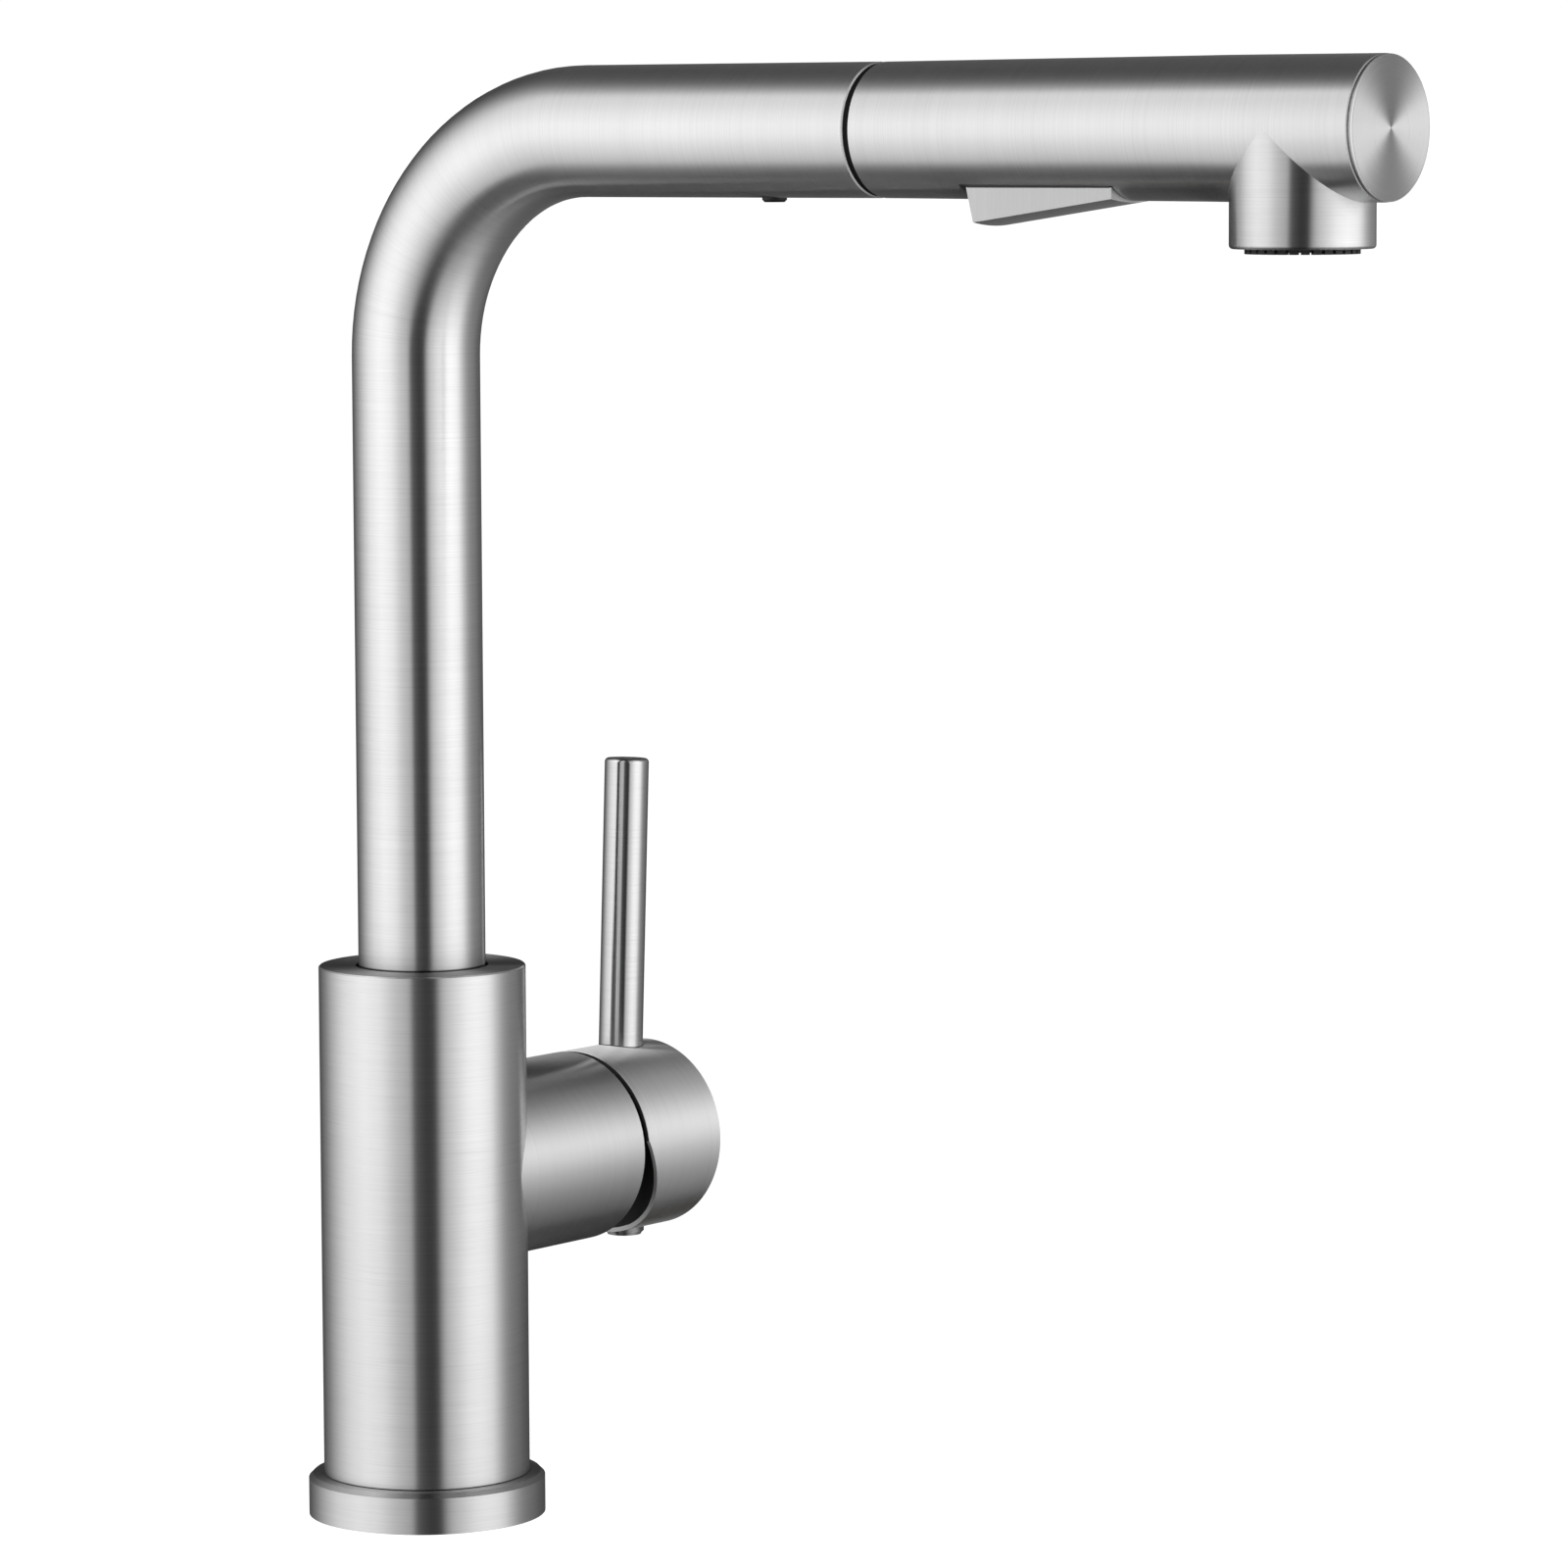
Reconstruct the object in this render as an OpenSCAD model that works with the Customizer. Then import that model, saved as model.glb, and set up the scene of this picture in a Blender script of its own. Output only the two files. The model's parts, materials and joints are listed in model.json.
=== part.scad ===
// Single-lever kitchen faucet with a pull-out spray head, deck mounted.
// +Z is up, the deck plane is z = 0, the spout reaches along -Y and the lever is on +X.
// Units are millimetres.

/* [Spout] */
// Outer diameter of the spout tube
tube_d = 28; // [26:0.5:30]
// Wall thickness of the spout tube
tube_wall = 1.5; // [1.2:0.1:1.8]
// Height of the horizontal spout axis above the deck
spout_z = 304.7; // [280:0.1:360]
// Centreline radius of the spout bend
bend_r = 48.7; // [44:0.1:56]
// Distance from the column axis to the end of the spout tube
tube_reach = 127; // [120:0.5:140]

/* [Body] */
// Outer diameter of the body sleeve
body_d = 45.6; // [45:0.2:48]
// Height of the top of the body above the deck
body_top = 122.2; // [119:0.1:130]
// Diameter of the base ring
base_d = 52.4; // [50:0.2:60]
// Height of the base ring
base_h = 9; // [7:0.5:10]

/* [Handle] */
// Height of the handle axis above the deck
handle_z = 75.4; // [74:0.1:78]
// Outer diameter of the handle branch and hub
branch_d = 42.8; // [42.4:0.1:44]
// Distance from the column axis to the end of the branch
branch_reach = 51.5; // [51.5:0.1:53]
// Distance from the column axis to the end of the hub
hub_reach = 79.4; // [77:0.1:84]
// Diameter of the lever rod
rod_d = 10.1; // [8:0.1:12]
// Height of the top of the lever rod above the deck
rod_top = 162.2; // [140:0.1:180]
// Outward lean of the lever rod, in degrees
rod_lean = 2.6; // [0:0.1:6]

/* [Spray head] */
// Head diameter at the seam with the spout tube
head_seam_d = 28; // [27.6:0.1:28.4]
// Head diameter around the nozzle
head_d = 29; // [28.4:0.1:30]
// Distance from the column axis to the outer end of the head
head_reach = 250.3; // [245:0.1:260]
// Distance from the column axis to the nozzle axis
nozzle_s = 229.9; // [225:0.1:232]
// Height of the nozzle rim above the deck
nozzle_z = 281.1; // [276:0.1:284]

/* [Below the deck] */
// Outer diameter of the mounting shank
shank_d = 33; // [32:0.5:33]
// Length of the mounting shank below the deck
shank_drop = 58; // [50:1:80]
// Thickness of the deck that the shank passes through
deck_t = 30; // [5:1:32]

/* [Hidden] */

$fn = 96;
eps = 0.5;
fit = 0.05;
weld = 0.01;
gap = 0.3;

// Colours
steel = "silver";
brass = "goldenrod";
black = "dimgray";
white = "whitesmoke";
ceramic = "ivory";

// Spout
tube_r = tube_d / 2;
tube_ir = tube_r - tube_wall;
edge = 0.3;

// Body
body_r = body_d / 2;
shell_wall = 2;
shell_ir = body_r - shell_wall;
top_t = 2.6;
tube_hole_gap = 0.6;
base_r = base_d / 2;
base_chamfer = 1;
core_r = shell_ir - fit;
core_top = body_top - top_t - fit;

// Handle branch, measured along +X from the column axis
branch_r = branch_d / 2;
branch_wall = 1.3;
branch_ir = branch_r - branch_wall;
seat_x = 17;
cartridge_r = 17.4;
socket_r = cartridge_r + 0.1;
base_t = 3;
disc_t = 4;
disc_r = 13;
moving_t = 3.5;
moving_r = 10.5;
mix_r = 7.5;
mix_deep = 1.6;
fixed_x = seat_x + base_t;
moving_x = fixed_x + disc_t;
driver_x = moving_x + moving_t;
driver_t = 4;
carrier_x = driver_x + driver_t + gap;
carrier_end = 44;
housing_x = fixed_x;
housing_end = 46;
housing_ir = 15.3;
housing_mouth_r = 9.2;
nut_x = housing_end + fit;
nut_t = 3.4;
nut_open_r = 11.5;
dome_r = 21;
dome_x = nut_x + nut_t + fit;
dome_open_r = 13.5;
dome_wall = 1.2;
pivot_x = 38;
stem_w = 8;
stem_x = pivot_x - 3;
ball_x = pivot_x - 7.3;
ball_r = 3;
stem_neck_r = 2.2;
stem_end = 74;
pin_r = 1.25;
pin_len = 24;
slot_low = 6.6;
slot_span = 14.2;

// Ports in the cartridge seat and the threaded ports under the valve block
inlet_angle = 50;
port_ring = 11;
outlet_ring = 11.2;
thread_r = 3.5;
thread_len = 12;
bore_r = 2.6;
inlet_y = port_ring * sin(inlet_angle);
inlet_x = port_ring * cos(inlet_angle);
inlet_dz = -4;
outlet_dz = 7.5;

// Handle hub
hub_rear_x = 53.3;
hub_slant = 22;
hub_slant_z = 2.5;
hub_rim = 0.5;
mouth_edge = 0.2;
hub_mouth_r = branch_r - 0.9;
hub_cavity_end = 62;
boss_r = 9;
boss_x = 60;
socket_end = 74.4;
rod_x = 68.4;
rod_r = rod_d / 2;
rod_round = 0.9;
rod_foot = 13;
plug_x = 70.2;
plug_r = 4.5;
plug_hole_r = 3.9;
plug_proud = 1.4;
plug_sunk = 0.6;
plug_len = 6;
plug_edge = 0.8;
screw_r = 2.5;
screw_len = boss_r - stem_w / 2 - 0.3;
hex_deep = 2;

// Valve block and spout bearing
block_bottom = 44;
skirt_step = 36;
hose_r = 6.5;
hose_bore_r = 7;
hose_low_z = -68;
coupling_r = 7.2;
coupling_len = 24;
plug_end_r = 4.2;
plug_groove_r = 3.3;
spout_bearing_r = 16.5;
bearing_floor = 98;
bush_h = 7;
collar_r = 16.2;
upper_bush_z = core_top - bush_h;
collar_z = bearing_floor + bush_h + gap;
collar_h = upper_bush_z - collar_z - gap;
stop_z = collar_z + collar_h / 2;
stop_r = 2;
stop_tip = 14.8;
swivel_half = 75;
groove_half = swivel_half + 9;

// Shank and deck fixings
shank_r = shank_d / 2;
shank_ir = 15;
pilot_r = shank_r - 0.4;
pilot_len = 9;
washer_r = 26;
rubber_t = 3;
plate_t = 2;
nut_h = 12;
nut_af = 46;
rubber_top = -deck_t;
plate_top = rubber_top - rubber_t;
nut_top = plate_top - plate_t;
clamp_ring = 21.5;
clamp_r = 2;
clamp_head_r = 3.4;
clamp_head_h = 3;
clamp_proud = 4;

// Dock between spout tube and head, measured along the spout from the column axis
ring_t = 1.2;
seam_s = tube_reach + ring_t + 0.1;
ring_r = tube_r - 0.3;
sleeve_r = tube_ir - fit;
sleeve_ir = 10.5;
sleeve_s = 92;
button_s = 99;
button_r = 2.6;
button_proud = 0.9;
button_edge = 0.5;
spigot_r = 10.4;
spigot_ir = 8.7;
spigot_s = 107;
flange_s = seam_s + 0.7;
flange_t = 2.5;
hose_end_s = 123.8;
ferrule_s = 104;
ferrule_r = 7.6;
hose_nut_r = 8.1;
hose_nut_len = 14.2;
passage_r = 4;

// Head
head_r = head_d / 2;
head_seam_r = head_seam_d / 2;
head_ir = 13.2;
taper_end_s = 212;
shell_end_s = head_reach - 1.1;
cap_neck_r = 13.9;
cap_r = head_r - 0.1;
cap_t = 0.75;
nozzle_r = head_r;
rim_round = 0.8;
block_s = flange_s + flange_t + 0.1;
block_r = head_ir - fit;
block_end_s = 246;
screen_s = hose_end_s + hose_nut_len + 0.2;
screen_r = 6.6;
screen_t = 1;
screen_pitch = 1.6;
valve_s = screen_s + screen_t + 0.1;
valve_r = 5.5;
valve_len = 9;
valve_ports = 6;
channel_s = 146;
channel_r = 3.2;
channel_len = 90;
spray_channel_r = 1.8;
spray_drop_s = 219;
side_port_r = 1.5;
side_port_s = [166, 182];

// Spray toggle, heights measured from the head's axis
window_half = 8.8;
window_s = 152.7;
window_end_s = 190.6;
toggle_half = 8.5;
toggle_s = 154.4;
toggle_end_s = 190.1;
toggle_top = -11.6;
toggle_front_z = -14.7;
toggle_rear_z = -19.5;
toggle_rear_lean = 1.9;
toggle_crown_r = 45;
toggle_pivot_s = 172.3;
toggle_pivot_z = -9.5;
toggle_pin_r = 1;
toggle_pin_len = 16.8;
toggle_hub_r = 2.3;
toggle_hub_half = 5;
arm_half = 1.4;
arm_tip_r = 1;
pocket_top = -7;
lug_x = 7;
lug_half = 1.4;
lug_w = 5;
spool_slot = 2.2;
seal_at = [3, 20];
seal_w = 1.2;
arm_tip_z = -2;
spool_z = -2;
spool_r = 2.5;
spool_s = 160;
spool_end_s = 188;
channel_z = 5.5;

// Nozzle
plate_top_z = 287.6;
plate_low_z = 283.6;
face_low_z = nozzle_z + 0.8;
face_r = 12.5;
nub_tip_z = nozzle_z - 1;
nub_count = 30;
nub_in_r = 9.7;
nub_out_r = 11.4;
nub_w = 1.7;
inner_nub_ring = 8;
inner_nub_count = 18;
spray_hole_ring = 9.6;
spray_hole_count = 12;
mesh_t = 0.8;
mesh_wire = 0.5;
centre_hole_r = 6.4;
aerator_r = 6;
mesh_bars = 5;
mesh_pitch = 1.7;

// Placing: local +Z runs along the spout, along the lever axis, or out of the nozzle.
module along_spout(s) {
  translate([0, -s, spout_z]) rotate([90, 0, 0]) children();
}
module along_handle(x) {
  translate([x, 0, handle_z]) rotate([0, 90, 0]) children();
}
module at_nozzle(z) {
  translate([0, -nozzle_s, z]) children();
}
// Side profile (distance along the spout, height from the head's axis), extruded across the head
module across_head(half) {
  translate([half, 0, spout_z]) rotate([90, 0, -90]) linear_extrude(2 * half) children();
}
module ring(r_out, r_in, h) {
  difference() {
    cylinder(r = r_out, h = h);
    translate([0, 0, -eps]) cylinder(r = r_in, h = h + 2 * eps);
  }
}
// Solid round bar with a chamfer at each end
module bar(r, h, low, high) {
  rotate_extrude() polygon([[0, 0], [r - low, 0], [r, low], [r, h - high], [r - high, h], [0, h]]);
}
// Vertical leg, quarter bend and horizontal leg of the spout
module bent_bar(r, low_z, end_s) {
  translate([0, 0, low_z]) cylinder(r = r, h = spout_z - bend_r - low_z);
  translate([0, -bend_r, spout_z - bend_r]) rotate([90, 0, 90])
    rotate_extrude(angle = 90) translate([bend_r, 0]) circle(r = r);
  along_spout(bend_r) cylinder(r = r, h = end_s - bend_r);
}

// Body group: fixed to the deck
module body_shell() color(steel) difference() {
  translate([0, 0, base_h]) bar(body_r, body_top - base_h, edge, edge);
  translate([0, 0, base_h - eps]) cylinder(r = shell_ir, h = body_top - top_t - base_h + eps);
  cylinder(r = tube_r + tube_hole_gap, h = body_top + eps);
  along_handle(0) cylinder(r = branch_ir, h = body_r + eps);
  translate([0, 0, stop_z]) rotate([-90, 0, 0]) cylinder(r = stop_r + 0.5, h = body_r + eps);
}
// Saddle-cut tube welded to the side of the body
module handle_branch() color(steel) difference() {
  along_handle(0) bar(branch_r, branch_reach, 0, mouth_edge);
  translate([0, 0, handle_z - body_r]) cylinder(r = body_r + weld, h = 2 * body_r);
  along_handle(0) cylinder(r = branch_ir, h = branch_reach + eps);
}
module base_ring() color(steel) difference() {
  bar(base_r, base_h, 0, base_chamfer);
  translate([0, 0, -eps]) cylinder(r = shank_r + 0.2, h = base_h + 2 * eps);
  translate([0, 0, -eps]) ring(base_r - 1.5, shank_r + 2.5, 2 + eps);
}
module base_gasket() color(black) ring(base_r - 1.6, shank_r + 2.6, 2);
// Threaded port under the block at (x, y), its riser, and its outlet in the cartridge's seat
module water_way(x, y, dz) {
  translate([x, y, block_bottom - eps]) cylinder(r = thread_r, h = thread_len + eps);
  translate([x, y, block_bottom]) cylinder(r = bore_r, h = handle_z + dz - block_bottom);
  translate([x, y, handle_z + dz]) rotate([0, 90, 0]) cylinder(r = bore_r, h = seat_x - x + eps);
}
module valve_block() color(brass) difference() {
  translate([0, 0, base_h]) cylinder(r = core_r, h = core_top - base_h);
  translate([0, 0, base_h - eps]) cylinder(r = shank_r + fit, h = skirt_step - base_h + eps);
  translate([0, 0, skirt_step - eps]) cylinder(r = shank_ir, h = block_bottom - skirt_step + eps);
  translate([0, 0, block_bottom - eps])
    cylinder(r = hose_bore_r, h = bearing_floor - block_bottom + 2 * eps);
  translate([0, 0, bearing_floor]) cylinder(r = spout_bearing_r, h = core_top - bearing_floor + eps);
  along_handle(seat_x) cylinder(r = branch_ir, h = body_r);
  for (side = [-1, 1]) water_way(inlet_x, side * inlet_y, inlet_dz);
  water_way(outlet_ring, 0, outlet_dz);
  translate([0, 0, stop_z]) rotate([-90, 0, 0]) cylinder(r = stop_r + fit, h = body_r);
}
// Sleeve that stands on the block's flat and holds the cartridge inside the branch
module cartridge_seat() color(brass) along_handle(seat_x)
  ring(branch_ir - 0.1, socket_r, housing_end - seat_x);
// Threaded shank with a plain pilot at its free end
module mounting_shank() color(brass) translate([0, 0, -shank_drop]) {
  ring(pilot_r, shank_ir, pilot_len);
  translate([0, 0, pilot_len]) ring(shank_r, shank_ir, shank_drop - pilot_len + skirt_step - fit);
}
module deck_rubber_washer() color(black) translate([0, 0, plate_top])
  ring(washer_r, shank_r + 0.2, rubber_t);
module deck_steel_washer() color(steel) translate([0, 0, nut_top])
  ring(washer_r, shank_r + 0.3, plate_t);
module mounting_nut() color(brass) translate([0, 0, nut_top - nut_h]) difference() {
  cylinder(r = nut_af / 2 / cos(30), h = nut_h, $fn = 6);
  translate([0, 0, -eps]) cylinder(r = shank_r + fit, h = nut_h + 2 * eps);
  for (side = [-1, 1])
    translate([side * clamp_ring, 0, -eps]) cylinder(r = clamp_r + fit, h = nut_h + 2 * eps);
}
module clamp_screws() color(steel) for (side = [-1, 1]) translate([side * clamp_ring, 0, nut_top - nut_h]) {
  translate([0, 0, -clamp_proud]) cylinder(r = clamp_r, h = nut_h + clamp_proud);
  translate([0, 0, -clamp_proud - clamp_head_h]) cylinder(r = clamp_head_r, h = clamp_head_h);
}
module lower_bush() color(black) translate([0, 0, bearing_floor])
  ring(spout_bearing_r - fit, tube_r + fit, bush_h);
module upper_bush() color(black) translate([0, 0, upper_bush_z])
  ring(spout_bearing_r - fit, tube_r + fit, bush_h);
module swivel_stop_screw() color(steel)
  translate([0, stop_tip, stop_z]) rotate([-90, 0, 0]) difference() {
    cylinder(r = stop_r, h = core_r - stop_tip);
    translate([0, 0, core_r - stop_tip - hex_deep]) cylinder(r = 1.15, h = hex_deep + eps, $fn = 6);
  }

// Mixing cartridge: fixed pieces
module seat_ports(h) {
  for (side = [-1, 1])
    translate([-inlet_dz, side * inlet_y, -eps]) cylinder(r = bore_r, h = h + 2 * eps);
  translate([-outlet_dz, 0, -eps]) cylinder(r = bore_r, h = h + 2 * eps);
}
module seal_rings(r_out, r_in, h) {
  for (side = [-1, 1]) translate([-inlet_dz, side * inlet_y, 0]) ring(r_out, r_in, h);
  translate([-outlet_dz, 0, 0]) ring(r_out, r_in, h);
}
module cartridge_base() color(white) along_handle(seat_x) difference() {
  cylinder(r = cartridge_r, h = base_t);
  seat_ports(base_t);
  translate([0, 0, -eps]) seal_rings(4.05, bore_r - 0.1, 1.5 + eps);
}
module cartridge_seals() color(black) along_handle(seat_x) seal_rings(4, bore_r + 0.1, 1.4);
module fixed_disc() color(ceramic) along_handle(fixed_x) difference() {
  cylinder(r = disc_r, h = disc_t);
  seat_ports(disc_t);
}
module cartridge_housing() color(white) along_handle(housing_x) difference() {
  cylinder(r = cartridge_r, h = housing_end - housing_x);
  translate([0, 0, -eps]) cylinder(r = housing_ir, h = carrier_end + gap - housing_x + eps);
  cylinder(r = housing_mouth_r, h = housing_end - housing_x + eps);
}
module cartridge_nut() color(brass) along_handle(nut_x) ring(branch_ir - 0.1, nut_open_r, nut_t);
module dome_cover() color(black) along_handle(0) difference() {
  translate([0, 0, pivot_x]) sphere(r = dome_r);
  translate([0, 0, pivot_x]) sphere(r = dome_r - dome_wall);
  translate([0, 0, pivot_x - dome_r - eps]) cylinder(r = dome_r + eps, h = dome_x - pivot_x + dome_r + eps);
  cylinder(r = dome_open_r, h = pivot_x + dome_r + eps);
}

// Rotating carrier of the cartridge
module stem_carrier() color(white) along_handle(carrier_x) difference() {
  cylinder(r = housing_ir - 0.1, h = carrier_end - carrier_x);
  translate([-slot_low, -stem_w / 2 - 0.1, -eps])
    cube([slot_span, stem_w + 0.2, carrier_end - carrier_x + 2 * eps]);
  translate([0, housing_ir, pivot_x - carrier_x]) rotate([90, 0, 0])
    cylinder(r = pin_r + 0.02, h = 2 * housing_ir);
}
module stem_pin() color(steel) translate([pivot_x, pin_len / 2, handle_z]) rotate([90, 0, 0])
  cylinder(r = pin_r, h = pin_len);
module moving_disc() color(ceramic) along_handle(moving_x) difference() {
  cylinder(r = moving_r, h = moving_t);
  translate([0, 0, -eps]) cylinder(r = mix_r, h = mix_deep + eps);
}
module disc_driver() color(black) along_handle(driver_x) difference() {
  cylinder(r = moving_r, h = driver_t);
  translate([0, 0, -eps]) cylinder(r = ball_r + 0.1, h = driver_t + 2 * eps);
}

// Lever group
module lever_stem() color(steel) difference() {
  union() {
    along_handle(ball_x) sphere(r = ball_r);
    along_handle(ball_x) cylinder(r = stem_neck_r, h = pivot_x - ball_x);
    translate([stem_x, -stem_w / 2, handle_z - stem_w / 2]) cube([stem_end - stem_x, stem_w, stem_w]);
  }
  translate([pivot_x, stem_w, handle_z]) rotate([90, 0, 0]) cylinder(r = pin_r + fit, h = 2 * stem_w);
}
// Room behind the hub's lower half, so that it can swing under the branch when the lever tilts
module hub_slant_cut() {
  reach = 2 * branch_r;
  translate([hub_rear_x, reach / 2, handle_z + hub_slant_z]) rotate([90, 0, 0]) linear_extrude(reach)
    polygon([[0, 0], [reach * tan(hub_slant), -reach], [-reach, -reach], [-reach, 0]]);
}
module handle_hub() color(steel) difference() {
  along_handle(hub_rear_x) bar(branch_r, hub_reach - hub_rear_x, mouth_edge, hub_rim);
  hub_slant_cut();
  along_handle(hub_rear_x - eps) difference() {
    cylinder(r = hub_mouth_r, h = hub_cavity_end - hub_rear_x + eps);
    translate([0, 0, boss_x - hub_rear_x + eps]) cylinder(r = boss_r, h = hub_cavity_end - boss_x + eps);
  }
  translate([boss_x - eps, -stem_w / 2 - fit, handle_z - stem_w / 2 - fit])
    cube([socket_end - boss_x + eps, stem_w + 2 * fit, stem_w + 2 * fit]);
  rod_place() translate([0, 0, rod_foot]) cylinder(r = rod_r + fit, h = branch_r);
  translate([plug_x, 0, handle_z - branch_r - eps]) {
    cylinder(r = plug_r + fit, h = plug_sunk + fit + eps);
    cylinder(r = plug_hole_r, h = branch_r - boss_r + eps);
    cylinder(r = screw_r + fit, h = branch_r - stem_w / 2 + eps);
  }
}
module rod_place() {
  translate([rod_x, 0, handle_z]) rotate([0, rod_lean, 0]) children();
}
module lever_rod() color(steel) rod_place() translate([0, 0, rod_foot + 0.1]) rotate_extrude() {
  length = (rod_top - handle_z) / cos(rod_lean) - rod_foot - 0.1;
  square([rod_r - rod_round, length]);
  square([rod_r, length - rod_round]);
  translate([rod_r - rod_round, length - rod_round]) circle(r = rod_round);
}
module hub_set_screw() color(steel)
  translate([plug_x, 0, handle_z - stem_w / 2 - fit]) rotate([180, 0, 0]) difference() {
    cylinder(r = screw_r, h = screw_len);
    translate([0, 0, screw_len - hex_deep]) cylinder(r = 1.4, h = hex_deep + eps, $fn = 6);
  }
module index_plug() color(steel) translate([plug_x, 0, handle_z - branch_r - plug_proud]) {
  bar(plug_r, plug_proud + plug_sunk, plug_edge, 0);
  cylinder(r = plug_hole_r - fit, h = plug_proud + plug_len);
}

// Spout group: swivels in the body
module spout_tube() color(steel) difference() {
  union() {
    bent_bar(tube_r, bearing_floor + gap, tube_reach - 1);
    along_spout(tube_reach - 1) bar(tube_r, 1, 0, edge);
  }
  bent_bar(tube_ir, bearing_floor + gap - eps, tube_reach + eps);
  translate([0, -button_s, spout_z - tube_r - eps]) cylinder(r = button_r + fit, h = tube_r);
}
module spout_collar() color(brass) translate([0, 0, collar_z]) difference() {
  ring(collar_r, tube_r + 0.02, collar_h);
  rotate([0, 0, 90 - groove_half]) rotate_extrude(angle = 2 * groove_half)
    translate([stop_tip - 0.2, collar_h / 2 - stop_r - 0.15]) square([5, 2 * stop_r + 0.3]);
}
module dock_sleeve() color(black) along_spout(sleeve_s) ring(sleeve_r, sleeve_ir, tube_reach - sleeve_s);
module dock_ring() color(black) along_spout(tube_reach) ring(ring_r, sleeve_ir, ring_t);
module dock_lock_button() color(black) translate([0, -button_s, spout_z - tube_r - button_proud])
  bar(button_r, tube_r + button_proud - sleeve_r, button_edge, 0);
module pull_out_hose() color(black) bent_bar(hose_r, hose_low_z, hose_end_s);
// Crimped end with the plug of the quick coupling
module hose_coupling() color(steel) translate([0, 0, hose_low_z - coupling_len]) rotate_extrude() polygon([
  [0, 0], [plug_end_r - 0.6, 0], [plug_end_r, 0.6], [plug_end_r, 4], [plug_groove_r, 4],
  [plug_groove_r, 6], [plug_end_r, 6], [plug_end_r, 9], [coupling_r, 9.6],
  [coupling_r, coupling_len - edge], [coupling_r - edge, coupling_len], [0, coupling_len]
]);

// Spray head: pulls out of the spout
module head_shell() color(steel) difference() {
  union() {
    along_spout(seam_s) rotate_extrude() polygon([
      [0, 0], [head_seam_r - edge, 0], [head_seam_r, edge], [head_r, taper_end_s - seam_s],
      [head_r, shell_end_s - seam_s - 0.2], [head_r - 0.2, shell_end_s - seam_s], [0, shell_end_s - seam_s]
    ]);
    at_nozzle(nozzle_z) rotate_extrude() {
      square([nozzle_r - rim_round, spout_z - nozzle_z]);
      translate([0, rim_round]) square([nozzle_r, spout_z - nozzle_z - rim_round]);
      translate([nozzle_r - rim_round, rim_round]) circle(r = rim_round);
    }
  }
  along_spout(seam_s - eps) cylinder(r = head_ir, h = shell_end_s - seam_s + 2 * eps);
  at_nozzle(nozzle_z - eps) cylinder(r = head_ir, h = spout_z - nozzle_z + eps);
  across_head(window_half) translate([window_s, -head_r - 2]) square([window_end_s - window_s, 7]);
}
module end_cap() color(steel) along_spout(shell_end_s - 3) {
  cylinder(r = head_ir - fit, h = 3);
  translate([0, 0, 3]) cylinder(r = cap_neck_r, h = head_reach - cap_t - shell_end_s);
  translate([0, 0, head_reach - cap_t - shell_end_s + 3]) bar(cap_r, cap_t, 0.1, 0.3);
}
module head_spigot() color(black) difference() {
  union() {
    along_spout(spigot_s) bar(spigot_r, flange_s - spigot_s + 1, 1, 0);
    along_spout(flange_s) cylinder(r = head_ir - fit, h = flange_t);
  }
  along_spout(spigot_s - eps) cylinder(r = spigot_ir, h = flange_s + flange_t - spigot_s + 2 * eps);
}
module hose_ferrule() color(steel) along_spout(ferrule_s)
  ring(ferrule_r, hose_r + fit, hose_end_s - ferrule_s);
module hose_nut() color(brass) along_spout(hose_end_s + 0.1) difference() {
  cylinder(r = hose_nut_r, h = hose_nut_len, $fn = 6);
  translate([0, 0, -eps]) cylinder(r = passage_r, h = hose_nut_len + 2 * eps);
}
module inlet_screen() color(steel) along_spout(screen_s) difference() {
  cylinder(r = screen_r, h = screen_t);
  for (row = [-2 : 2], col = [-2 : 2])
    translate([row * screen_pitch - 0.5, col * screen_pitch - 0.5, -eps]) cube([1, 1, screen_t + 2 * eps]);
}
module check_valve() color(white) along_spout(valve_s) difference() {
  bar(valve_r, valve_len, edge, edge);
  translate([0, 0, -eps]) cylinder(r = 3.6, h = valve_len / 3 + eps);
  for (port = [1 : valve_ports]) rotate([0, 0, port * 360 / valve_ports]) translate([3, 0, -eps])
    cylinder(r = 0.9, h = valve_len + 2 * eps);
}
module waterway_block() color(white) difference() {
  union() {
    along_spout(block_s) cylinder(r = block_r, h = block_end_s - block_s);
    at_nozzle(plate_top_z + 0.1) cylinder(r = block_r, h = spout_z - plate_top_z);
  }
  along_spout(block_s - eps) cylinder(r = spigot_ir, h = valve_s - 0.1 - block_s + eps);
  along_spout(screen_s) cylinder(r = valve_r + 0.1, h = screen_t + valve_len + 1);
  along_spout(channel_s) translate([0, channel_z, 0]) cylinder(r = channel_r, h = channel_len);
  at_nozzle(plate_top_z) cylinder(r = passage_r, h = spout_z + channel_z - plate_top_z);
  along_spout(spool_s - 2) translate([0, spool_z, 0])
    cylinder(r = spool_r + fit, h = spool_end_s - spool_s + 4);
  along_spout(spool_end_s) translate([0, spool_z, 0])
    cylinder(r = spray_channel_r, h = spray_drop_s - spool_end_s);
  translate([0, -spray_drop_s, plate_top_z])
    cylinder(r = spray_channel_r, h = spout_z + spool_z - plate_top_z);
  for (s = side_port_s) translate([0, -s, spout_z + spool_z])
    cylinder(r = side_port_r, h = channel_z - spool_z);
  toggle_pocket();
}
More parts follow.
